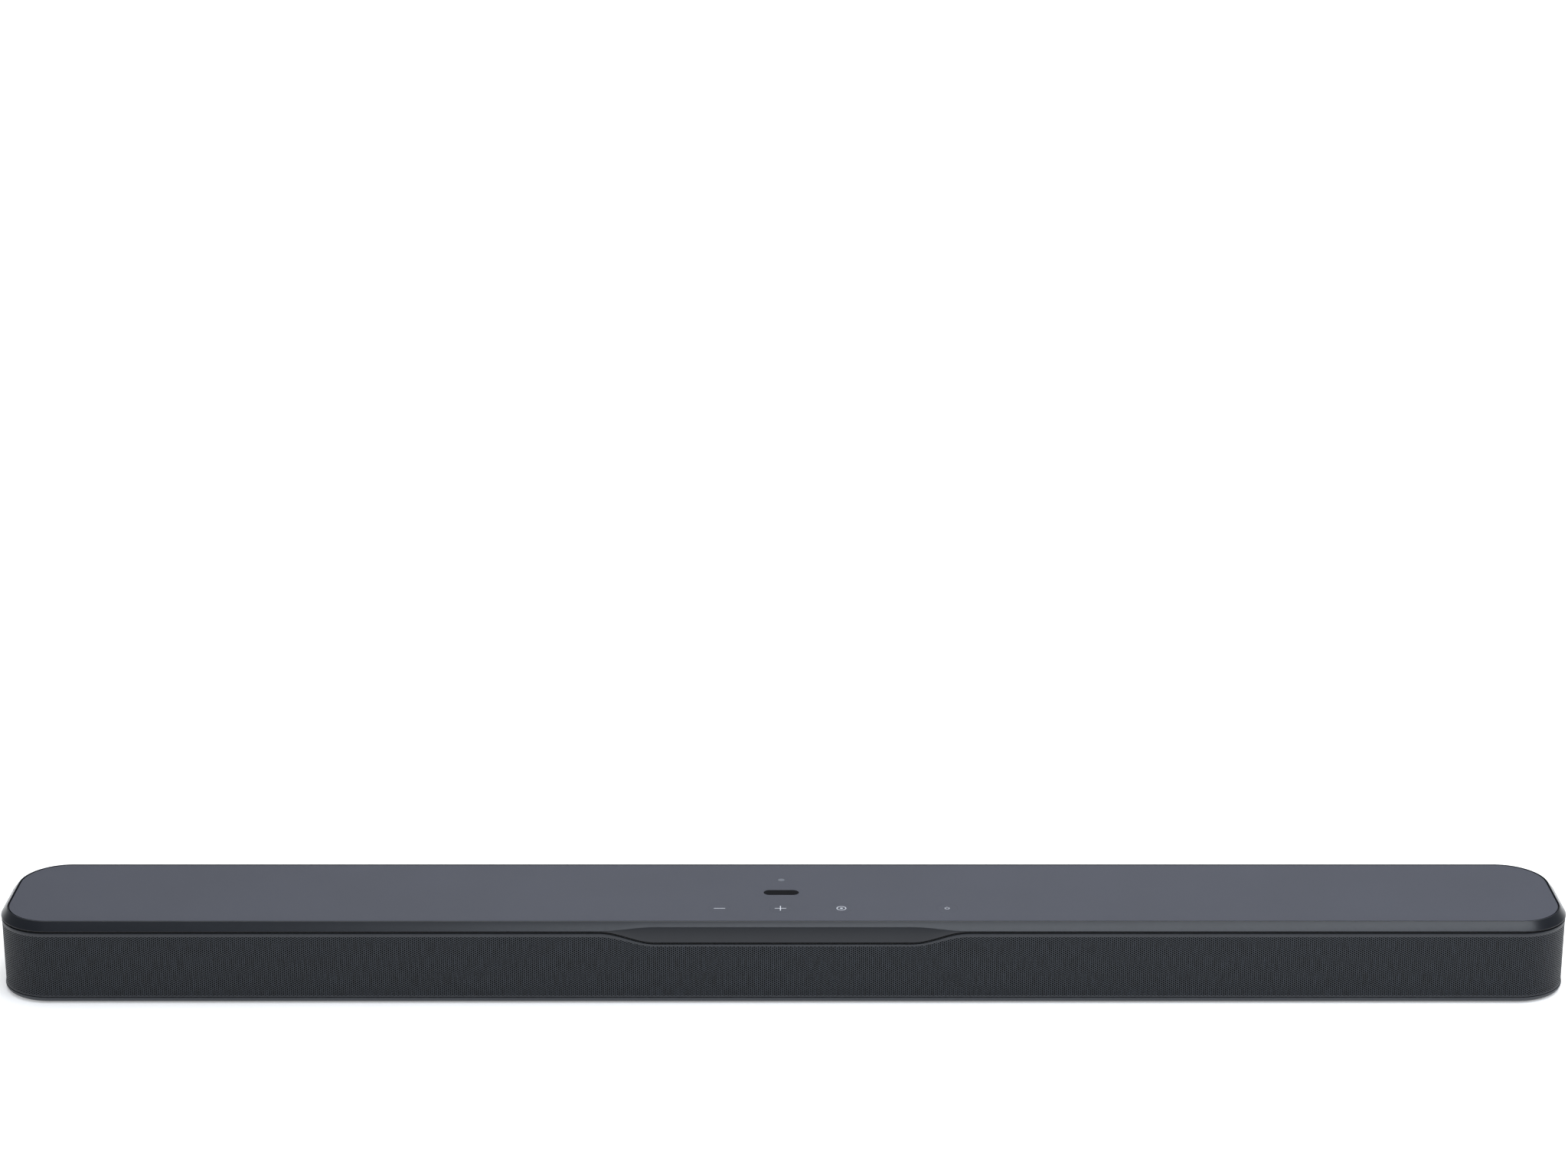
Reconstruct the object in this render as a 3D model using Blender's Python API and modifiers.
"""A slim television soundbar, taken apart into the pieces that it is assembled from.

Frame: +X along the bar to the listener's right when facing it, -Y to the listener, +Z up.
The origin is at the middle of the bar, at the level that its rubber feet stand on.
Every length is in metres.
"""

import math

import bmesh
import bpy
from mathutils import Matrix

MM = 0.001

# ---------------------------------------------------------------- driving dimensions
# Overall
LENGTH = 1017 * MM
DEPTH = 103.5 * MM
HEIGHT = 56 * MM
CORNER_RADIUS = 34.5 * MM  # the casing's corners, seen from above
CORNER_STEPS = 9  # straight steps that make one quarter of a casing corner
ROUND_STEPS = 24  # straight steps that make one turn of a round piece
DRIVER_STEPS = 5  # straight steps that make one quarter of a woofer's round ends
KEY_STEPS = 40  # straight steps round a key cap, which is seen close to

# Clearances
GAP = 0.3 * MM  # between pieces that touch on the real bar
KEY_GAP = 0.2 * MM  # around a key cap
RUNNING_GAP = 0.3 * MM  # around a cone or a dome that moves

# Lower housing and feet
FOOT_RADIUS = 10 * MM
FOOT_SHOWS = 1.0 * MM  # how far a foot stands below the housing
FOOT_POCKET = 0.8 * MM
FOOT_INSET_X = 95 * MM  # from the bar's end
FOOT_INSET_Y = 21 * MM  # from the bar's front and back
BOTTOM_ROUND = 2.6 * MM
BAND = 3.2 * MM  # the plain band of housing under the grille
FLOOR = 2.5 * MM
WALL = 2.5 * MM

# Grille and the moulded frame behind it
GRILLE_INSET = 0.25 * MM
GRILLE_SHEET = 0.8 * MM
GRILLE_RETURN = 10 * MM  # how far it runs on past each rear corner
FRAME_SHEET = 1.5 * MM
FRAME_RAIL = 4.5 * MM
FRAME_RIB = 10 * MM

# Upper housing
RIM = 5.5 * MM  # from the top down to the rim's lower edge
RIM_EDGE = 0.4 * MM  # the upright part of the rim, under its chamfer
CHAMFER = 4.2 * MM  # measured inwards
RIM_LAND = 0.6 * MM  # the flat ring between the chamfer and the panel
RIM_WALL = 3.0 * MM
REVEAL = 1.0 * MM  # the shadow gap between rim and grille
DECK = 2.0 * MM
LIP_DROP = 7.5 * MM  # how far the rim dips in the middle of the front
LIP_HALF_FLAT = 82 * MM
LIP_HALF_SPAN = 119 * MM
LIP_STEPS = 8
LIP_SHEET = 2.6 * MM
FACET_TOP = 3.0 * MM  # from the top down to where the lip's flat facet starts
FACET_PAST = 1.0 * MM  # how far the facet's cutter runs on above it

# Top panel and what shows in it
PANEL = 1.5 * MM
PANEL_SUNK = 0.15 * MM
KEY_RADIUS = 7 * MM
KEY_CAP = 1.1 * MM
KEY_STEM_RADIUS = 2.5 * MM
KEY_TRAVEL = 0.3 * MM
KEY_Y = -26 * MM
KEYS = {"minus": -41.5 * MM, "plus": -2 * MM, "source": 37.5 * MM, "power": 106 * MM}
LIGHT_RADIUS = 2.2 * MM
LIGHT_X = -1.5 * MM
LIGHT_Y = 21 * MM
BADGE_SIZE = (23 * MM, 8 * MM)
BADGE = 0.7 * MM
BADGE_POCKET = 0.9 * MM
BADGE_X = -1.5 * MM

# Loudspeakers
BAFFLE = 3.0 * MM
BAFFLE_GROOVE_DEPTH = 0.2 * MM
BAFFLE_HALF_LENGTH = LENGTH / 2 - 54.5 * MM
DRIVER_Z = 25 * MM
INNER_X = 85 * MM  # the inner woofers, from the middle
OUTER_X = LENGTH / 2 - 158.5 * MM  # the outer woofers, which keep their distance from the ends
WOOFERS = {"outer_left": -OUTER_X, "inner_left": -INNER_X, "inner_right": INNER_X, "outer_right": OUTER_X}
FRAME_RIBS_X = (INNER_X + 70 * MM, OUTER_X - 58 * MM, OUTER_X + 96 * MM)  # on each side of the middle
WOOFER_HOLE = (86 * MM, 36 * MM)
WOOFER_FLANGE = (94 * MM, 40 * MM, 2 * MM)
BASKET_MOUTH = (82 * MM, 34 * MM)
BASKET_NECK = 2 * MM  # its straight part behind the flange
BASKET_BACK = (48 * MM, 30 * MM)
BASKET_WALL = 1.6 * MM
SURROUND_WIDTH = 5.2 * MM
SURROUND_SHEET = 1.2 * MM
CONE_EDGE = 1.0 * MM
CONE_DEPTH = 8 * MM
COIL = (21 * MM, 20 * MM, 4 * MM)
CONE_TRAVEL = 2.5 * MM
MAGNET_RADIUS = 15 * MM
MAGNET = 10 * MM
TWEETER_X = 0.64 * OUTER_X
TWEETERS = {"left": -TWEETER_X, "centre": 0, "right": TWEETER_X}
TWEETER_RADIUS = 15 * MM
TWEETER_HOLE_RADIUS = 12 * MM
TWEETER_CUP_RADIUS = 10 * MM
TWEETER_DEPTH = 14 * MM
DOME_HEIGHT = 3.5 * MM
DOME_SKIRT = 2.5 * MM
DOME_SUNK = 1.0 * MM  # from the driver's face back to the dome's edge
DOME_STEPS = 5
DOME_ROOM = 3 * MM  # behind the skirt

# Rear panel, its two bays, and the sockets
REAR_SHEET = 2.5 * MM
SHEET_CORNER = 2 * MM  # the corners of the rear panel and of the baffle
BEZEL_WALL = 1.2 * MM  # the lining of each bay
PLATE_MARGIN = 6 * MM  # the socket plates, past the ends of the bays
PLATE_TOP_MARGIN = 3 * MM
BAY_WALL = 1.5 * MM  # the inner shell's tub round that lining
BAY_SHEET = 2.3 * MM  # the tub's floor, which the sockets stand in
BAY_DEPTH = 20 * MM
BAY_LOW = 9 * MM
BAY_HEIGHT = 26 * MM
BAYS_X = {"signal": (8 * MM, 152 * MM), "power": (-136 * MM, -92 * MM)}
SOCKET_WALL = 0.9 * MM
SOCKET_LENGTH = 13 * MM
SOCKET_Z = 21 * MM
# Each socket's x, and its hollow's width, height and depth
SOCKETS = {
    "hdmi_in_socket": (24 * MM, 14.4 * MM, 4.9 * MM, 9 * MM),
    "hdmi_arc_socket": (50 * MM, 14.4 * MM, 4.9 * MM, 9 * MM),
    "ethernet_socket": (78 * MM, 11.9 * MM, 8.2 * MM, 11 * MM),
    "usb_socket": (106 * MM, 12.6 * MM, 5.3 * MM, 11 * MM),
    "optical_socket": (134 * MM, 9.8 * MM, 9.8 * MM, 11 * MM),
}
INLET_SIZE = (24 * MM, 16 * MM)
INLET_CORNER = 2.7 * MM
INLET_HOLLOW = (15.5 * MM, 8.6 * MM, 11 * MM)
INLET_PROUD = 1.5 * MM  # how far it stands out of the bay's floor
SHUTTER = 0.6 * MM
SHUTTER_HINGE_DROP = 1.0 * MM  # from the socket's ceiling down to the hinge line
SHUTTER_SUNK = 0.6 * MM
INSERT_RADIUS = 4 * MM
INSERT_BORE_RADIUS = 2 * MM
INSERT_X = 300 * MM
INSERT_Z = 25 * MM
INSERT_LENGTH = 8 * MM
INSERT_BORE_DEPTH = 7 * MM
INSERT_BOSS_WALL = 2 * MM

# Electronics
BOARD = 1.6 * MM
CHIP = 1.4 * MM
MAIN_BOARD_FRONT = -10 * MM
MAIN_BOARD_MARGIN = 4 * MM
# Each chip's middle from the board's left end, its width and its depth
CHIPS = {
    "amplifier": (35 * MM, 20 * MM, 14 * MM),
    "processor": (92 * MM, 17 * MM, 17 * MM),
    "memory": (125 * MM, 12 * MM, 9 * MM),
}
CHIPS_FROM_FRONT = 11 * MM
SINK_FINS = 7
SINK_FIN = 1.2 * MM
SINK_PITCH = 4 * MM
SINK_LENGTH = 46 * MM
SINK_BASE = 2.5 * MM
SINK_HEIGHT = 11 * MM
POWER_BOARD_X = (-172 * MM, -58 * MM)
POWER_BOARD_Z = 7 * MM
TRANSFORMER = (26 * MM, 22 * MM, 20 * MM)
TRANSFORMER_EDGE = 1 * MM
TRANSFORMER_FROM_LEFT = 30 * MM
CAPACITOR_FROM_RIGHT = 24 * MM
CAPACITOR_RADIUS = 8 * MM
CAPACITOR_HEIGHT = 24 * MM
KEY_BOARD_WIDTH = 13 * MM
KEY_BOARD_MARGIN = 10 * MM  # past its last switches
LAMP_TONGUE = 6 * MM  # half its width, and how far it runs past the lamp
LAMP_TONGUE_THINNER = 0.1 * MM
KEY_SWITCH = (6 * MM, 6 * MM, 2.6 * MM)
SWITCH_CLEAR = 0.5 * MM  # between the switches and the deck, more than the usual gap
LEAD_RADIUS = 1.3 * MM
LEAD_Y = -16 * MM
LEAD_FROM_END = 2 * MM  # where it leaves the main board, from the end of the signal bay
LEAD_BEND = 8 * MM
LEAD_STEPS = 6  # straight steps in each of its bends
LEAD_Z = 5.6 * MM
RIBBON = (10 * MM, 0.4 * MM)
RIBBON_OFFSET = 30 * MM  # from the source key, towards the power key
RIBBON_LANDING = 2 * MM  # from the main board's front edge

# ---------------------------------------------------------------- derived places
CASE_BOTTOM = FOOT_SHOWS
FLOOR_TOP = CASE_BOTTOM + FLOOR
BAND_TOP = CASE_BOTTOM + BAND
RIM_BOTTOM = HEIGHT - RIM
GRILLE_BOTTOM = BAND_TOP + GAP
GRILLE_TOP = RIM_BOTTOM - REVEAL
GRILLE_INNER = GRILLE_INSET + GRILLE_SHEET
FRAME_OUTER = GRILLE_INNER + GAP
FRAME_INNER = FRAME_OUTER + FRAME_SHEET
WALL_OUTER = FRAME_INNER + GAP
WALL_INNER = WALL_OUTER + WALL
WALL_TOP = RIM_BOTTOM - GAP
PANEL_TOP = HEIGHT - PANEL_SUNK
PANEL_BOTTOM = PANEL_TOP - PANEL
DECK_TOP = PANEL_BOTTOM - GAP
DECK_BOTTOM = DECK_TOP - DECK
PANEL_EDGE = CHAMFER + RIM_LAND + GAP
FRONT = -DEPTH / 2
BACK = DEPTH / 2
BAFFLE_FRONT = FRONT + WALL_OUTER
BAFFLE_BACK = BAFFLE_FRONT + BAFFLE
BAFFLE_GROOVE = BAND_TOP - BAFFLE_GROOVE_DEPTH
DRIVER_FRONT = BAFFLE_BACK + GAP
REAR_FACE = BACK - GRILLE_INSET
REAR_INNER = REAR_FACE - REAR_SHEET
REAR_HALF_LENGTH = LENGTH / 2 - CORNER_RADIUS - GRILLE_RETURN - GAP
BAY_FLOOR = REAR_FACE - BAY_DEPTH
SWITCH_TOP = DECK_BOTTOM - GAP - SWITCH_CLEAR
STEM_BOTTOM = SWITCH_TOP + KEY_TRAVEL + GAP
TALLEST_SOCKET = max(height for _, _, height, _ in SOCKETS.values())
MAIN_BOARD_TOP = SOCKET_Z - TALLEST_SOCKET / 2 - SOCKET_WALL - GAP
KEY_BOARD_TOP = SWITCH_TOP - KEY_SWITCH[2]
COIL_END = CONE_EDGE + CONE_DEPTH + COIL[2]
BASKET_DEPTH = COIL_END + CONE_TRAVEL + RUNNING_GAP + BASKET_WALL
PAST = 5 * MM  # how far a cutter runs past what it cuts
BURIED = 0.5 * MM  # how far a piece that is joined to another reaches into it


# ---------------------------------------------------------------- scene and materials
for old in list(bpy.data.objects):
    bpy.data.objects.remove(old, do_unlink=True)


def new_collection(name):
    collection = bpy.data.collections.new(name)
    bpy.context.scene.collection.children.link(collection)
    return collection


PARTS = new_collection("soundbar")
CUTTERS = new_collection("cutters")


def material(name, colour, roughness, metallic=0.0):
    made = bpy.data.materials.new(name)
    made.use_nodes = True
    shader = made.node_tree.nodes["Principled BSDF"]
    shader.inputs["Base Color"].default_value = (*colour, 1)
    shader.inputs["Roughness"].default_value = roughness
    shader.inputs["Metallic"].default_value = metallic
    made.diffuse_color = (*colour, 1)
    return made


PANEL_GREY = material("panel_grey", (0.115, 0.123, 0.142), 0.55)
RIM_GREY = material("rim_grey", (0.075, 0.080, 0.094), 0.30)
GRILLE_STEEL = material("grille_steel", (0.030, 0.034, 0.039), 0.60, 0.3)
HOUSING_BLACK = material("housing_black", (0.022, 0.024, 0.028), 0.60)
MOULDED_BLACK = material("moulded_black", (0.012, 0.012, 0.013), 0.65)
RUBBER_BLACK = material("rubber_black", (0.010, 0.010, 0.010), 0.85)
PAPER_CONE = material("paper_cone", (0.018, 0.018, 0.020), 0.80)
SILK_DOME = material("silk_dome", (0.020, 0.020, 0.022), 0.70)
PLATED_STEEL = material("plated_steel", (0.55, 0.55, 0.53), 0.35, 1.0)
FERRITE = material("ferrite", (0.030, 0.030, 0.032), 0.70)
CIRCUIT_GREEN = material("circuit_green", (0.010, 0.070, 0.030), 0.50)
BARE_ALUMINIUM = material("bare_aluminium", (0.60, 0.61, 0.62), 0.40, 1.0)
TAPE_YELLOW = material("tape_yellow", (0.60, 0.42, 0.06), 0.55)
SLEEVE_BLACK = material("sleeve_black", (0.015, 0.015, 0.018), 0.40)
BRASS = material("brass", (0.60, 0.42, 0.16), 0.35, 1.0)
LIGHT_WHITE = material("light_white", (0.55, 0.56, 0.58), 0.40)
BADGE_DARK = material("badge_dark", (0.025, 0.028, 0.034), 0.40)
RIBBON_WHITE = material("ribbon_white", (0.55, 0.55, 0.52), 0.50)


# ---------------------------------------------------------------- shapes
def add(name, mesh, finish=None, location=(0, 0, 0)):
    """A part when it has a finish, and a hidden cutter when it has none."""
    made = bpy.data.objects.new(name, mesh)
    made.location = location
    if finish:
        mesh.materials.append(finish)
        PARTS.objects.link(made)
    else:
        made.hide_render = True
        made.display_type = "WIRE"
        CUTTERS.objects.link(made)
    return made


def boolean(part, other, operation="DIFFERENCE"):
    modifier = part.modifiers.new(other.name, "BOOLEAN")
    modifier.solver = "EXACT"
    modifier.operation = operation
    modifier.object = other


def rounded_rectangle(width, height, radius, steps=CORNER_STEPS, centre=(0, 0)):
    """Points of a rounded rectangle, anticlockwise."""
    points = []
    for quarter, (side, end) in enumerate(((1, 1), (-1, 1), (-1, -1), (1, -1))):
        for step in range(steps + 1):
            angle = math.pi / 2 * (quarter + step / steps)
            x = side * (width / 2 - radius) + radius * math.cos(angle)
            y = end * (height / 2 - radius) + radius * math.sin(angle)
            point = (centre[0] + x, centre[1] + y)
            if not points or math.dist(point, points[-1]) > GAP / 10:
                points.append(point)
    if math.dist(points[0], points[-1]) < GAP / 10:
        points.pop()
    return points


def stadium(width, height, centre=(0, 0)):
    return rounded_rectangle(width, height, height / 2, DRIVER_STEPS, centre)


def case_outline(inset):
    """The casing seen from above, moved inwards all round."""
    return rounded_rectangle(LENGTH - 2 * inset, DEPTH - 2 * inset, CORNER_RADIUS - inset)


def circle(radius, centre=(0, 0), steps=ROUND_STEPS):
    turns = [2 * math.pi * step / steps for step in range(steps)]
    return [(centre[0] + radius * math.cos(turn), centre[1] + radius * math.sin(turn)) for turn in turns]


def flat_mesh(name, outlines, low, high):
    """Flat outlines, the first with the rest as its holes, filled and extruded from low to high."""
    curve = bpy.data.curves.new(name, "CURVE")
    curve.dimensions = "2D"
    curve.fill_mode = "BOTH"
    curve.extrude = (high - low) / 2
    for outline in outlines:
        spline = curve.splines.new("POLY")
        spline.points.add(len(outline) - 1)
        for point, (x, y) in zip(spline.points, outline):
            point.co = (x, y, 0, 1)
        spline.use_cyclic_u = True
    helper = bpy.data.objects.new(name, curve)
    PARTS.objects.link(helper)
    evaluated = helper.evaluated_get(bpy.context.evaluated_depsgraph_get())
    mesh = bpy.data.meshes.new_from_object(evaluated)
    mesh.name = name
    bpy.data.objects.remove(helper, do_unlink=True)
    bpy.data.curves.remove(curve)
    weld(mesh)
    mesh.transform(Matrix.Translation((0, 0, (low + high) / 2)))
    return mesh


def weld(mesh):
    shape = bmesh.new()
    shape.from_mesh(mesh)
    bmesh.ops.remove_doubles(shape, verts=shape.verts, dist=GAP / 100)
    bmesh.ops.recalc_face_normals(shape, faces=shape.faces)
    shape.to_mesh(mesh)
    shape.free()


def upright_mesh(name, outlines, front, back):
    """The same in the plane of X and Z, from front to back along Y."""
    mesh = flat_mesh(name, outlines, -back, -front)
    mesh.transform(Matrix.Rotation(math.pi / 2, 4, "X"))
    return mesh


def box_mesh(name, low, high):
    shape = bmesh.new()
    bmesh.ops.create_cube(shape, size=1)
    sizes = [b - a for a, b in zip(low, high)]
    middle = [(a + b) / 2 for a, b in zip(low, high)]
    bmesh.ops.scale(shape, vec=sizes, verts=shape.verts)
    bmesh.ops.translate(shape, vec=middle, verts=shape.verts)
    mesh = bpy.data.meshes.new(name)
    shape.to_mesh(mesh)
    shape.free()
    return mesh


def hull_mesh(name, points):
    shape = bmesh.new()
    for point in points:
        shape.verts.new(point)
    bmesh.ops.convex_hull(shape, input=shape.verts)
    mesh = bpy.data.meshes.new(name)
    shape.to_mesh(mesh)
    shape.free()
    return mesh


def loft_mesh(name, rings):
    """A closed skin through rings that have the same number of points, capped at both ends."""
    shape = bmesh.new()
    rows = [[shape.verts.new(point) for point in ring] for ring in rings]
    for row, following in zip(rows, rows[1:]):
        for i in range(len(row)):
            j = (i + 1) % len(row)
            shape.faces.new((row[i], row[j], following[j], following[i]))
    shape.faces.new(rows[0])
    shape.faces.new(rows[-1])
    bmesh.ops.recalc_face_normals(shape, faces=shape.faces)
    mesh = bpy.data.meshes.new(name)
    shape.to_mesh(mesh)
    shape.free()
    return mesh


def turned(name, profile, location, finish=None, faces_front=False, steps=ROUND_STEPS):
    """A profile of (radius, height) points, from its top to its bottom, turned about its axis."""
    mesh = bpy.data.meshes.new(name)
    points = [(radius, 0, height) for radius, height in profile]
    edges = [(i, i + 1) for i in range(len(points) - 1)]
    mesh.from_pydata(points, edges, [])
    made = add(name, mesh, finish, location)
    if faces_front:
        made.rotation_euler = (math.pi / 2, 0, 0)
    screw = made.modifiers.new("turn", "SCREW")
    screw.steps = steps
    screw.render_steps = steps
    screw.use_merge_vertices = True
    screw.merge_threshold = GAP / 100
    screw.use_smooth_shade = True
    return made


def plug(radius, top, bottom):
    """The profile of a plain cylinder."""
    return [(0, top), (radius, top), (radius, bottom), (0, bottom)]


def hole(part, name, radius, location, top, bottom, faces_front=False):
    boolean(part, turned(name, plug(radius, top, bottom), location, faces_front=faces_front))


# ---------------------------------------------------------------- casing
def lip_outline(low, high, half_flat, half_span):
    """The dip in the middle of the front: flat, with an S-shaped rise at each end."""
    rise = []
    for step in range(LIP_STEPS + 1):
        part = step / LIP_STEPS
        height = (1 - math.cos(math.pi * part)) / 2
        rise.append((half_flat + (half_span - half_flat) * part, low + (high - low) * height))
    left = [(-x, z) for x, z in reversed(rise)]
    return left + rise


def lip_cutter(name, low, high):
    """What the lip takes out of the grille and its frame, from low up past high."""
    outline = lip_outline(low, high, LIP_HALF_FLAT, LIP_HALF_SPAN)
    above = [(LIP_HALF_SPAN, high + PAST), (-LIP_HALF_SPAN, high + PAST)]
    return add(name, upright_mesh(name, [outline + above], FRONT - PAST, FRONT + WALL_OUTER))


def make_upper_housing():
    rim = ((0, RIM_BOTTOM), (0, RIM_BOTTOM + RIM_EDGE), (CHAMFER, HEIGHT))
    rings = [[(x, y, z) for x, y in case_outline(inset)] for inset, z in rim]
    housing = add("upper_housing", loft_mesh("upper_housing", rings), RIM_GREY)

    lip = lip_outline(RIM_BOTTOM - LIP_DROP, RIM_BOTTOM, LIP_HALF_FLAT, LIP_HALF_SPAN)
    buried = [(LIP_HALF_SPAN, RIM_BOTTOM + BURIED), (-LIP_HALF_SPAN, RIM_BOTTOM + BURIED)]
    lip_mesh = upright_mesh("front_lip", [lip + buried], FRONT, FRONT + LIP_SHEET)
    hollow = flat_mesh("deck_hollow", [case_outline(RIM_WALL)], RIM_BOTTOM - PAST, DECK_BOTTOM)
    recess = flat_mesh("panel_recess", [case_outline(CHAMFER + RIM_LAND)], DECK_TOP, HEIGHT + PAST)
    boolean(housing, add("deck_hollow", hollow))
    boolean(housing, add("front_lip", lip_mesh), "UNION")
    boolean(housing, add("panel_recess", recess))

    # The facet is flat over the lip and runs out to a point at each end, where the lip has risen.
    lip_low = RIM_BOTTOM - LIP_DROP
    chamfer_slope = CHAMFER / (RIM - RIM_EDGE)
    facet_inset = (RIM - RIM_EDGE - FACET_TOP) * chamfer_slope
    facet_slope = facet_inset / (HEIGHT - FACET_TOP - lip_low)
    high = HEIGHT - FACET_TOP + FACET_PAST
    outside = FRONT - PAST
    corners = []
    for side in (-1, 1):
        x = side * LIP_HALF_FLAT
        end = side * LIP_HALF_SPAN
        low_inset = -facet_slope * GAP
        high_inset = facet_slope * (high - lip_low)
        corners += [(x, FRONT + low_inset, lip_low - GAP), (x, FRONT + high_inset, high)]
        corners += [(x, outside, lip_low - GAP), (x, outside, high)]
        corners += [(end, FRONT, RIM_BOTTOM + RIM_EDGE / 2), (end, outside, RIM_BOTTOM + RIM_EDGE / 2)]
    boolean(housing, add("lip_facet", hull_mesh("lip_facet", corners)))

    for key, x in KEYS.items():
        radius = KEY_STEM_RADIUS + GAP
        hole(housing, f"stem_hole_{key}", radius, (x, KEY_Y, 0), HEIGHT, RIM_BOTTOM)
    hole(housing, "light_hole_deck", LIGHT_RADIUS + GAP, (LIGHT_X, LIGHT_Y, 0), HEIGHT, RIM_BOTTOM)


def make_top_panel():
    outlines = [case_outline(PANEL_EDGE)]
    for x in KEYS.values():
        outlines.append(circle(KEY_RADIUS + KEY_GAP, (x, KEY_Y), KEY_STEPS))
    outlines.append(circle(LIGHT_RADIUS + KEY_GAP, (LIGHT_X, LIGHT_Y)))
    mesh = flat_mesh("top_panel", outlines, PANEL_BOTTOM, PANEL_TOP)
    panel = add("top_panel", mesh, PANEL_GREY)
    width, height = (side + 2 * KEY_GAP for side in BADGE_SIZE)
    pocket = stadium(width, height, (BADGE_X, 0))
    pocket_mesh = flat_mesh("badge_pocket", [pocket], PANEL_TOP - BADGE_POCKET, HEIGHT + PAST)
    boolean(panel, add("badge_pocket", pocket_mesh))

    badge = stadium(*BADGE_SIZE, (BADGE_X, 0))
    low = PANEL_TOP - BADGE_POCKET + GAP
    add("blank_badge", flat_mesh("blank_badge", [badge], low, low + BADGE), BADGE_DARK)

    pipe = plug(LIGHT_RADIUS, PANEL_TOP, KEY_BOARD_TOP + GAP)
    turned("status_light_pipe", pipe, (LIGHT_X, LIGHT_Y, 0), LIGHT_WHITE)


def make_keys():
    """Each key is a cap in the panel with a stem that stops just above its switch."""
    for key, x in KEYS.items():
        cap_bottom = -KEY_CAP
        stem_bottom = STEM_BOTTOM - PANEL_TOP
        profile = [(0, 0), (KEY_RADIUS, 0), (KEY_RADIUS, cap_bottom), (KEY_STEM_RADIUS, cap_bottom)]
        profile += [(KEY_STEM_RADIUS, stem_bottom), (0, stem_bottom)]
        turned(f"key_{key}", profile, (x, KEY_Y, PANEL_TOP), PANEL_GREY, steps=KEY_STEPS)


def add_bays(shell):
    """The two tubs in the shell's back, with windows for the sockets in their floors."""
    wall_back = BACK - WALL_OUTER
    top = BAY_LOW + BAY_HEIGHT
    inside = BEZEL_WALL + GAP
    outside = inside + BAY_WALL
    for name, (left, right) in BAYS_X.items():
        low = (left - outside, BAY_FLOOR - BAY_SHEET, BAY_LOW - outside)
        high = (right + outside, wall_back - BURIED, top + outside)
        boolean(shell, add(f"{name}_tub", box_mesh(f"{name}_tub", low, high)), "UNION")
        low = (left - inside, BAY_FLOOR, BAY_LOW - inside)
        high = (right + inside, BACK + PAST, top + inside)
        boolean(shell, add(f"{name}_tub_hollow", box_mesh(f"{name}_tub_hollow", low, high)))
    for name, (x, width, height, _) in SOCKETS.items():
        reach = SOCKET_WALL + GAP
        low = (x - width / 2 - reach, BAY_FLOOR - PAST, SOCKET_Z - height / 2 - reach)
        high = (x + width / 2 + reach, BAY_FLOOR + PAST, SOCKET_Z + height / 2 + reach)
        boolean(shell, add(f"{name}_window", box_mesh(f"{name}_window", low, high)))
    width, height = (side + 2 * GAP for side in INLET_SIZE)
    middle = (sum(BAYS_X["power"]) / 2, SOCKET_Z)
    inlet = rounded_rectangle(width, height, INLET_CORNER + GAP, steps=3, centre=middle)
    inlet_mesh = upright_mesh("inlet_window", [inlet], BAY_FLOOR - PAST, BAY_FLOOR + PAST)
    boolean(shell, add("inlet_window", inlet_mesh))


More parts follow.
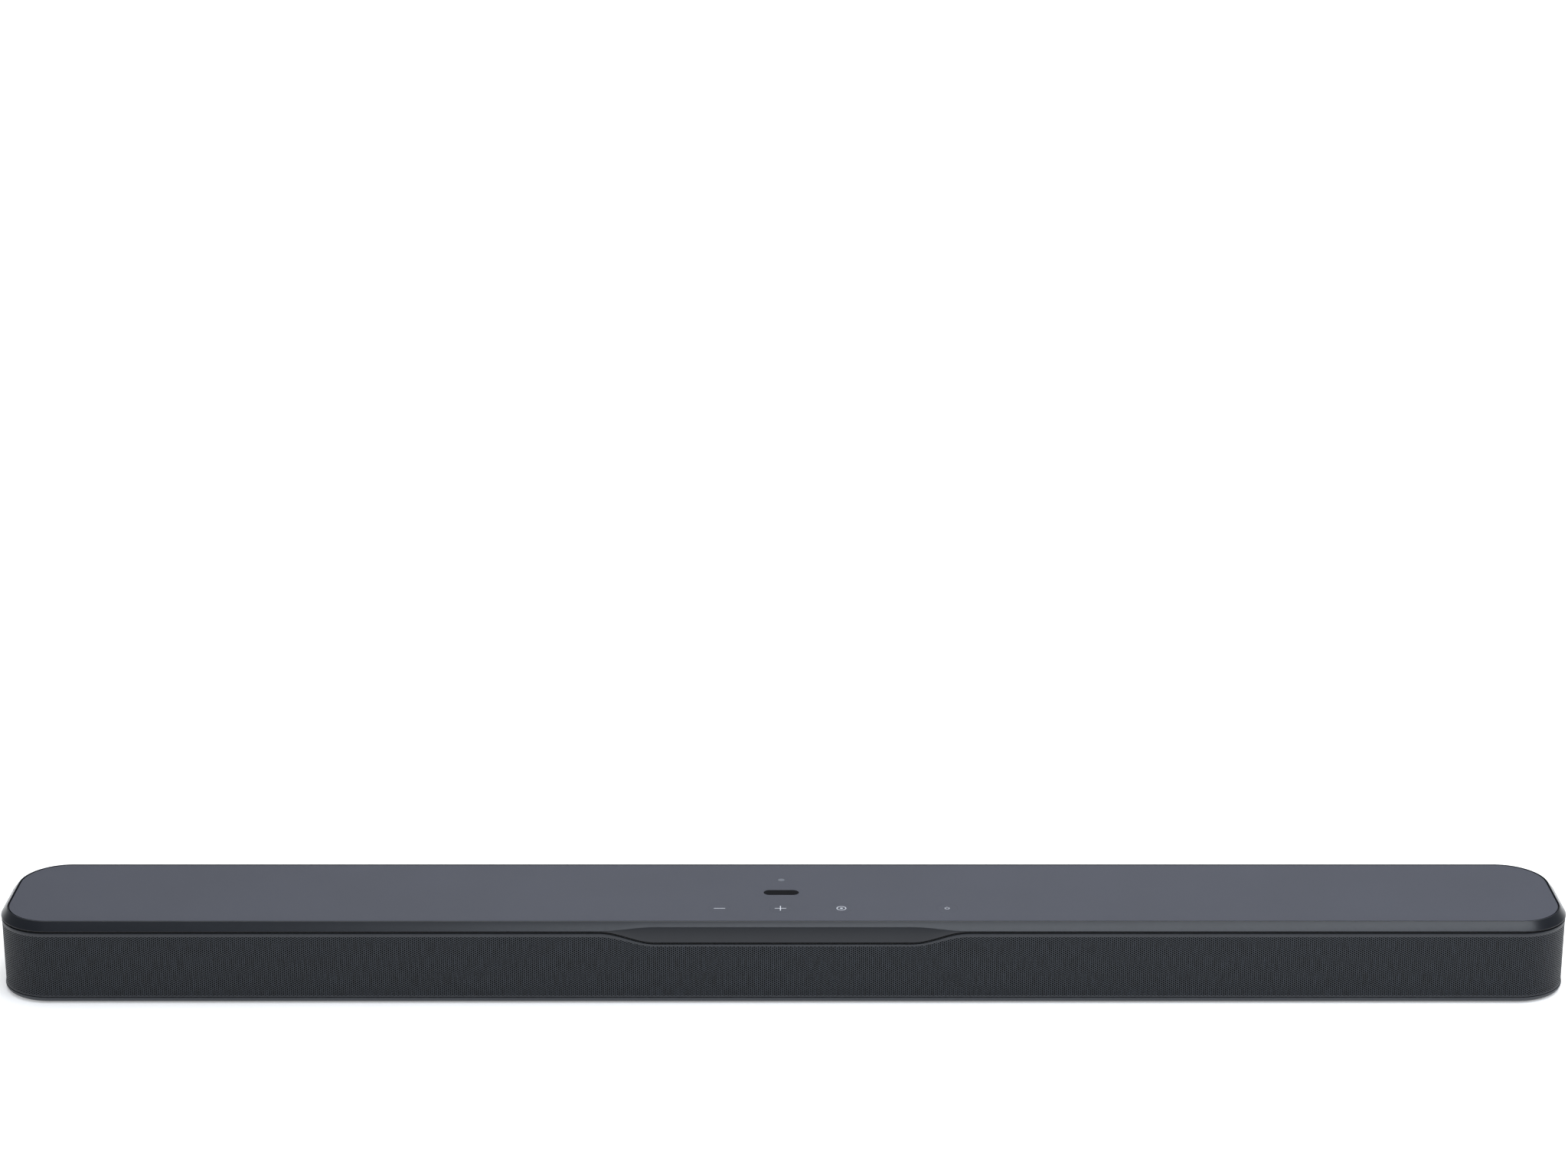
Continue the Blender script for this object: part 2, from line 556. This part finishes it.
def make_lower_housing():
    levels = []
    for step in range(4):
        angle = math.pi / 2 * step / 3
        inset = BOTTOM_ROUND * (1 - math.sin(angle))
        levels.append((inset, CASE_BOTTOM + BOTTOM_ROUND * (1 - math.cos(angle))))
    levels.append((0, BAND_TOP))
    rings = [[(x, y, z) for x, y in case_outline(inset)] for inset, z in levels]
    housing = add("lower_housing", loft_mesh("lower_housing", rings), HOUSING_BLACK)
    hollow = flat_mesh("case_hollow", [case_outline(WALL_INNER)], FLOOR_TOP, HEIGHT + PAST)
    boolean(housing, add("case_hollow", hollow))

    shell_outlines = [case_outline(WALL_OUTER), case_outline(WALL_INNER)]
    shell_mesh = flat_mesh("inner_shell", shell_outlines, GRILLE_BOTTOM, WALL_TOP)
    shell = add("inner_shell", shell_mesh, MOULDED_BLACK)

    for number, piece in enumerate((housing, shell), 1):
        low = (-BAFFLE_HALF_LENGTH - GAP, BAFFLE_FRONT - GAP, BAFFLE_GROOVE)
        high = (BAFFLE_HALF_LENGTH + GAP, BAFFLE_BACK + PAST, HEIGHT + PAST)
        boolean(piece, add(f"baffle_mouth_{number}", box_mesh(f"baffle_mouth_{number}", low, high)))
    add_bays(shell)
    wall_back = BACK - WALL_OUTER
    for side, word in ((-1, "left"), (1, "right")):
        place = (side * INSERT_X, wall_back, INSERT_Z)
        pocket = INSERT_LENGTH - (REAR_FACE - wall_back) + GAP
        boss = plug(INSERT_RADIUS + INSERT_BOSS_WALL, pocket + INSERT_BOSS_WALL, BURIED)
        boolean(shell, turned(f"insert_boss_{word}", boss, place, faces_front=True), "UNION")
        hole(shell, f"insert_pocket_{word}", INSERT_RADIUS + GAP, place, pocket, -PAST, faces_front=True)

    x = LENGTH / 2 - FOOT_INSET_X
    y = DEPTH / 2 - FOOT_INSET_Y
    places = {"front_left": (-x, -y), "front_right": (x, -y), "rear_left": (-x, y), "rear_right": (x, y)}
    for place, (foot_x, foot_y) in places.items():
        top = CASE_BOTTOM + FOOT_POCKET
        hole(housing, f"foot_pocket_{place}", FOOT_RADIUS + GAP, (foot_x, foot_y, 0), top + GAP, -PAST)
        turned(f"foot_{place}", plug(FOOT_RADIUS, top, 0), (foot_x, foot_y, 0), RUBBER_BLACK)


def make_grille():
    """The perforated band round the front and both ends, and the moulded frame that stiffens it."""
    shells = (
        ("front_grille", GRILLE_INSET, GRILLE_INNER, GRILLE_STEEL),
        ("grille_frame", FRAME_OUTER, FRAME_INNER, MOULDED_BLACK),
    )
    rear = REAR_HALF_LENGTH + GAP
    for name, outer, inner, finish in shells:
        outlines = [case_outline(outer), case_outline(inner)]
        band = add(name, flat_mesh(name, outlines, GRILLE_BOTTOM, GRILLE_TOP), finish)
        low = (-rear, FRONT + CORNER_RADIUS, CASE_BOTTOM)
        high = (rear, BACK + PAST, HEIGHT)
        boolean(band, add(f"{name}_back", box_mesh(f"{name}_back", low, high)))
        boolean(band, lip_cutter(f"{name}_dip", GRILLE_TOP - LIP_DROP, GRILLE_TOP))

    frame = bpy.data.objects["grille_frame"]
    ribs = sorted([-x for x in FRAME_RIBS_X] + list(FRAME_RIBS_X))
    low_z = GRILLE_BOTTOM + FRAME_RAIL
    high_z = GRILLE_TOP - LIP_DROP - FRAME_RAIL
    for number, (left, right) in enumerate(zip(ribs, ribs[1:]), 1):
        low = (left + FRAME_RIB / 2, FRONT - PAST, low_z)
        high = (right - FRAME_RIB / 2, FRONT + WALL_INNER, high_z)
        boolean(frame, add(f"frame_window_{number}", box_mesh(f"frame_window_{number}", low, high)))


def make_rear_panel():
    """A flat plate with a notch for two socket plates, and the inserts for a wall bracket.
    Each socket plate has a mouth, and a lining that runs in from the mouth to the sockets."""
    middle = (GRILLE_BOTTOM + GRILLE_TOP) / 2
    size = (2 * REAR_HALF_LENGTH, GRILLE_TOP - GRILLE_BOTTOM)
    outlines = [rounded_rectangle(*size, SHEET_CORNER, steps=3, centre=(0, middle))]
    for side, word in ((-1, "left"), (1, "right")):
        outlines.append(circle(INSERT_RADIUS + GAP, (side * INSERT_X, INSERT_Z)))
        profile = [(0, INSERT_LENGTH), (INSERT_RADIUS, INSERT_LENGTH), (INSERT_RADIUS, 0)]
        profile += [(INSERT_BORE_RADIUS, 0), (INSERT_BORE_RADIUS, INSERT_BORE_DEPTH), (0, INSERT_BORE_DEPTH)]
        place = (side * INSERT_X, REAR_FACE, INSERT_Z)
        turned(f"wall_insert_{word}", profile, place, BRASS, faces_front=True)
    panel = add("rear_panel", upright_mesh("rear_panel", outlines, REAR_INNER, REAR_FACE), HOUSING_BLACK)

    top = BAY_LOW + BAY_HEIGHT
    notch_left = BAYS_X["power"][0] - PLATE_MARGIN
    notch_right = BAYS_X["signal"][1] + PLATE_MARGIN
    notch_top = top + PLATE_TOP_MARGIN
    low = (notch_left, REAR_INNER - PAST, CASE_BOTTOM)
    high = (notch_right, REAR_FACE + PAST, notch_top)
    boolean(panel, add("socket_notch", box_mesh("socket_notch", low, high)))
    meet = (BAYS_X["power"][1] + BAYS_X["signal"][0]) / 2
    spans = {"power": (notch_left + GAP, meet - GAP / 2), "signal": (meet + GAP / 2, notch_right - GAP)}
    for name, (left, right) in BAYS_X.items():
        start, end = spans[name]
        face_high = (end, REAR_FACE, notch_top - GAP)
        face = box_mesh(f"{name}_bezel", (start, REAR_INNER, GRILLE_BOTTOM), face_high)
        plate = add(f"{name}_bezel", face, HOUSING_BLACK)
        wall = BEZEL_WALL
        low = (left - wall, BAY_FLOOR + GAP, BAY_LOW - wall)
        high = (right + wall, REAR_INNER + BURIED, top + wall)
        boolean(plate, add(f"{name}_lining", box_mesh(f"{name}_lining", low, high)), "UNION")
        hollow = box_mesh(f"{name}_mouth", (left, BAY_FLOOR - PAST, BAY_LOW), (right, BACK + PAST, top))
        boolean(plate, add(f"{name}_mouth", hollow))


# ---------------------------------------------------------------- loudspeakers
def stadium_ring(width, height, y):
    return [(x, y, z) for x, z in stadium(width, height)]


def make_baffle():
    middle = (BAFFLE_GROOVE + GAP + WALL_TOP) / 2
    height = WALL_TOP - BAFFLE_GROOVE - GAP
    outlines = [rounded_rectangle(2 * BAFFLE_HALF_LENGTH, height, SHEET_CORNER, 3, (0, middle))]
    for x in WOOFERS.values():
        outlines.append(stadium(*WOOFER_HOLE, (x, DRIVER_Z)))
    for x in TWEETERS.values():
        outlines.append(circle(TWEETER_HOLE_RADIUS, (x, DRIVER_Z)))
    mesh = upright_mesh("front_baffle", outlines, BAFFLE_FRONT, BAFFLE_BACK)
    add("front_baffle", mesh, MOULDED_BLACK)


def make_woofer(word, x):
    """A racetrack driver, its front flange behind the baffle. Its own origin is at the flange's front."""
    place = (x, DRIVER_FRONT, DRIVER_Z)
    flange_width, flange_height, flange = WOOFER_FLANGE
    neck = flange + BASKET_NECK
    outer = [side + 2 * BASKET_WALL for side in BASKET_MOUTH]
    basket_rings = [
        stadium_ring(flange_width, flange_height, 0),
        stadium_ring(flange_width, flange_height, flange),
        stadium_ring(*outer, flange),
        stadium_ring(*outer, neck),
        stadium_ring(*BASKET_BACK, BASKET_DEPTH),
    ]
    basket = add(f"woofer_basket_{word}", loft_mesh("basket", basket_rings), PLATED_STEEL, place)
    inner_back = [side - 2 * BASKET_WALL for side in BASKET_BACK]
    hollow_rings = [
        stadium_ring(*BASKET_MOUTH, -PAST),
        stadium_ring(*BASKET_MOUTH, neck),
        stadium_ring(*inner_back, BASKET_DEPTH - BASKET_WALL),
    ]
    boolean(basket, add(f"basket_hollow_{word}", loft_mesh("basket_hollow", hollow_rings), None, place))

    surround_outer = [side - 2 * GAP for side in BASKET_MOUTH]
    surround_inner = [side - 2 * SURROUND_WIDTH for side in surround_outer]
    cone_mouth = [side - 2 * RUNNING_GAP for side in surround_inner]
    outlines = [stadium(*surround_outer), stadium(*surround_inner)]
    mesh = upright_mesh("surround", outlines, 0, SURROUND_SHEET)
    add(f"woofer_surround_{word}", mesh, RUBBER_BLACK, place)

    coil_width, coil_height, _ = COIL
    cone_rings = [
        stadium_ring(*cone_mouth, 0),
        stadium_ring(*cone_mouth, CONE_EDGE),
        stadium_ring(coil_width, coil_height, CONE_EDGE + CONE_DEPTH),
        stadium_ring(coil_width, coil_height, COIL_END),
    ]
    cone = add(f"woofer_cone_{word}", loft_mesh("cone", cone_rings), PAPER_CONE, place)
    dish_mouth = [side - 2 * CONE_EDGE for side in cone_mouth]
    dish_rings = [
        stadium_ring(*dish_mouth, -PAST),
        stadium_ring(*dish_mouth, 0),
        stadium_ring(coil_width - CONE_EDGE, coil_height - CONE_EDGE, CONE_DEPTH),
    ]
    boolean(cone, add(f"cone_dish_{word}", loft_mesh("cone_dish", dish_rings), None, place))

    magnet = plug(MAGNET_RADIUS, -BASKET_DEPTH - GAP, -BASKET_DEPTH - GAP - MAGNET)
    turned(f"woofer_magnet_{word}", magnet, place, FERRITE, faces_front=True)


def make_tweeter(word, x):
    """A small dome driver. Heights along its axis are counted forwards from its face."""
    place = (x, DRIVER_FRONT, DRIVER_Z)
    cup = TWEETER_CUP_RADIUS
    cup_depth = DOME_SKIRT + DOME_ROOM
    profile = [(0, -cup_depth), (cup, -cup_depth), (cup, 0), (TWEETER_RADIUS, 0)]
    profile += [(TWEETER_RADIUS, -TWEETER_DEPTH), (0, -TWEETER_DEPTH)]
    turned(f"tweeter_body_{word}", profile, place, MOULDED_BLACK, faces_front=True)

    edge = cup - RUNNING_GAP
    sphere = (edge**2 + DOME_HEIGHT**2) / (2 * DOME_HEIGHT)
    steepest = math.asin(edge / sphere)
    dome = []
    for step in range(DOME_STEPS + 1):
        angle = steepest * step / DOME_STEPS
        height = DOME_HEIGHT - DOME_SUNK - sphere * (1 - math.cos(angle))
        dome.append((sphere * math.sin(angle), height))
    skirt = -DOME_SKIRT - DOME_SUNK
    turned(f"tweeter_dome_{word}", dome + [(edge, skirt), (0, skirt)], place, SILK_DOME, faces_front=True)


# ---------------------------------------------------------------- sockets and electronics
def make_sockets():
    for name, (x, width, height, depth) in SOCKETS.items():
        low = (x - width / 2 - SOCKET_WALL, BAY_FLOOR - SOCKET_LENGTH, SOCKET_Z - height / 2 - SOCKET_WALL)
        high = (x + width / 2 + SOCKET_WALL, BAY_FLOOR, SOCKET_Z + height / 2 + SOCKET_WALL)
        finish = MOULDED_BLACK if name == "optical_socket" else PLATED_STEEL
        socket = add(name, box_mesh(name, low, high), finish)
        low = (x - width / 2, BAY_FLOOR - depth, SOCKET_Z - height / 2)
        high = (x + width / 2, BAY_FLOOR + PAST, SOCKET_Z + height / 2)
        boolean(socket, add(f"{name}_hollow", box_mesh(f"{name}_hollow", low, high)))

    x, width, height, _ = SOCKETS["optical_socket"]
    hinge_z = SOCKET_Z + height / 2 - SHUTTER_HINGE_DROP
    place = (x, BAY_FLOOR - SHUTTER_SUNK - SHUTTER / 2, hinge_z)
    low = (-width / 2 + GAP, -SHUTTER / 2, SOCKET_Z - height / 2 + GAP - hinge_z)
    high = (width / 2 - GAP, SHUTTER / 2, SHUTTER / 2)
    add("optical_shutter", box_mesh("optical_shutter", low, high), MOULDED_BLACK, place)

    middle = (sum(BAYS_X["power"]) / 2, SOCKET_Z)
    outline = rounded_rectangle(*INLET_SIZE, INLET_CORNER, steps=3, centre=middle)
    front = BAY_FLOOR + INLET_PROUD
    mesh = upright_mesh("power_inlet", [outline], BAY_FLOOR - SOCKET_LENGTH - INLET_PROUD, front)
    inlet = add("power_inlet", mesh, MOULDED_BLACK)
    width, height, depth = INLET_HOLLOW
    hollow = rounded_rectangle(width, height, height / 2, steps=4, centre=middle)
    mesh = upright_mesh("inlet_hollow", [hollow], front - depth, front + PAST)
    boolean(inlet, add("inlet_hollow", mesh))


def make_main_board():
    """The signal board under the sockets, with its chips, and the heat sink on its amplifier."""
    top = MAIN_BOARD_TOP
    left = BAYS_X["signal"][0] - MAIN_BOARD_MARGIN
    right = BAYS_X["signal"][1] + MAIN_BOARD_MARGIN
    back = BAY_FLOOR - BAY_SHEET - GAP
    mesh = box_mesh("main_board", (left, MAIN_BOARD_FRONT, top - BOARD), (right, back, top))
    board = add("main_board", mesh, CIRCUIT_GREEN)
    chip_y = MAIN_BOARD_FRONT + CHIPS_FROM_FRONT
    for name, (from_left, width, depth) in CHIPS.items():
        x = left + from_left
        low = (x - width / 2, chip_y - depth / 2, top - BURIED)
        high = (x + width / 2, chip_y + depth / 2, top + CHIP)
        boolean(board, add(f"{name}_chip", box_mesh(f"{name}_chip", low, high)), "UNION")

    x = left + CHIPS["amplifier"][0]
    depth = SINK_PITCH * (SINK_FINS - 1) + SINK_FIN
    base = top + CHIP + GAP
    low = (x - SINK_LENGTH / 2, chip_y - depth / 2, base)
    high = (x + SINK_LENGTH / 2, chip_y + depth / 2, base + SINK_BASE)
    sink = add("heat_sink", box_mesh("heat_sink", low, high), BARE_ALUMINIUM)
    for fin in range(SINK_FINS):
        y = chip_y - depth / 2 + SINK_PITCH * fin
        low = (x - SINK_LENGTH / 2, y, base + SINK_BASE - BURIED)
        high = (x + SINK_LENGTH / 2, y + SINK_FIN, base + SINK_HEIGHT)
        boolean(sink, add(f"sink_fin_{fin + 1}", box_mesh(f"sink_fin_{fin + 1}", low, high)), "UNION")


def make_power_supply():
    left, right = POWER_BOARD_X
    back = BAY_FLOOR - SOCKET_LENGTH - INLET_PROUD - GAP
    front = MAIN_BOARD_FRONT
    top = POWER_BOARD_Z + BOARD
    mesh = box_mesh("power_board", (left, front, POWER_BOARD_Z), (right, back, top))
    add("power_board", mesh, CIRCUIT_GREEN)
    width, depth, height = TRANSFORMER
    x = left + TRANSFORMER_FROM_LEFT
    y = (front + back) / 2
    low = (x - width / 2, y - depth / 2, top + GAP)
    high = (x + width / 2, y + depth / 2, top + GAP + height)
    transformer = add("power_transformer", box_mesh("power_transformer", low, high), TAPE_YELLOW)
    bevel = transformer.modifiers.new("edges", "BEVEL")
    bevel.width = TRANSFORMER_EDGE
    bevel.segments = 1
    place = (right - CAPACITOR_FROM_RIGHT, y, top + GAP)
    turned("filter_capacitor", plug(CAPACITOR_RADIUS, CAPACITOR_HEIGHT, 0), place, SLEEVE_BLACK)


def make_key_board():
    xs = list(KEYS.values()) + [LIGHT_X]
    low = (min(xs) - KEY_BOARD_MARGIN, KEY_Y - KEY_BOARD_WIDTH / 2, KEY_BOARD_TOP - BOARD)
    high = (max(xs) + KEY_BOARD_MARGIN, KEY_Y + KEY_BOARD_WIDTH / 2, KEY_BOARD_TOP)
    board = add("key_board", box_mesh("key_board", low, high), CIRCUIT_GREEN)
    width, depth, height = KEY_SWITCH
    for key, x in KEYS.items():
        low = (x - width / 2, KEY_Y - depth / 2, KEY_BOARD_TOP - BURIED)
        high = (x + width / 2, KEY_Y + depth / 2, KEY_BOARD_TOP + height)
        boolean(board, add(f"switch_{key}", box_mesh(f"switch_{key}", low, high)), "UNION")
    # A tongue carries the lamp under the status light.
    thinner = LAMP_TONGUE_THINNER
    low = (LIGHT_X - LAMP_TONGUE, KEY_Y, KEY_BOARD_TOP - BOARD + thinner)
    high = (LIGHT_X + LAMP_TONGUE, LIGHT_Y + LAMP_TONGUE, KEY_BOARD_TOP - thinner)
    boolean(board, add("lamp_tongue", box_mesh("lamp_tongue", low, high)), "UNION")


def tube(name, points, radius, finish):
    """A round lead through its points, with filled ends."""
    curve = bpy.data.curves.new(name, "CURVE")
    curve.dimensions = "3D"
    curve.bevel_depth = radius
    curve.bevel_resolution = 2
    curve.use_fill_caps = True
    spline = curve.splines.new("POLY")
    spline.points.add(len(points) - 1)
    for point, place in zip(spline.points, points):
        point.co = (*place, 1)
    made = bpy.data.objects.new(name, curve)
    curve.materials.append(finish)
    PARTS.objects.link(made)
    return made


def make_leads():
    """One lead to each outer woofer, along the floor, and the ribbon from the keys to the main board."""
    lift = DRIVER_Z - MAGNET_RADIUS - GAP - LEAD_RADIUS - LEAD_Z
    starts = {"left": BAYS_X["signal"][0] + LEAD_FROM_END, "right": BAYS_X["signal"][1] - LEAD_FROM_END}
    for side, word in ((-1, "left"), (1, "right")):
        start = starts[word]
        end = WOOFERS[f"outer_{word}"]
        points = []
        for step in range(LEAD_STEPS + 1):
            angle = math.pi / 2 * step / LEAD_STEPS
            x = start + side * LEAD_BEND * (1 - math.cos(angle))
            points.append((x, LEAD_Y - LEAD_BEND * (1 - math.sin(angle)), LEAD_Z))
        for step in range(LEAD_STEPS + 1):
            part = step / LEAD_STEPS
            x = end - side * LEAD_BEND * (1 - part)
            points.append((x, LEAD_Y, LEAD_Z + lift * (1 - math.cos(math.pi * part)) / 2))
        tube(f"speaker_lead_{word}", points, LEAD_RADIUS, SLEEVE_BLACK)

    width, thick = RIBBON
    x = KEYS["source"] + RIBBON_OFFSET
    high = KEY_BOARD_TOP - BOARD - GAP
    low = MAIN_BOARD_TOP + GAP
    start = KEY_Y
    bend = MAIN_BOARD_FRONT + RIBBON_LANDING
    outline = [(start, high), (start, high - thick), (bend, high - thick)]
    outline += [(bend, low), (bend + thick, low), (bend + thick, high)]
    mesh = flat_mesh("key_ribbon", [outline], -width / 2, width / 2)
    # The outline lies in Y and Z, and its thickness along X.
    mesh.transform(Matrix(((0, 0, 1, x), (1, 0, 0, 0), (0, 1, 0, 0), (0, 0, 0, 1))))
    add("key_ribbon", mesh, RIBBON_WHITE)


def shade_parts():
    """Round faces are shaded smooth, and real edges stay sharp."""
    for part in PARTS.objects:
        if part.type == "MESH" and part.data.polygons:
            part.data.shade_smooth()
            part.data.set_sharp_from_angle(angle=math.radians(30))


make_upper_housing()
make_top_panel()
make_keys()
make_lower_housing()
make_grille()
make_rear_panel()
make_baffle()
for woofer, woofer_x in WOOFERS.items():
    make_woofer(woofer, woofer_x)
for tweeter, tweeter_x in TWEETERS.items():
    make_tweeter(tweeter, tweeter_x)
make_sockets()
make_main_board()
make_power_supply()
make_key_board()
make_leads()
shade_parts()
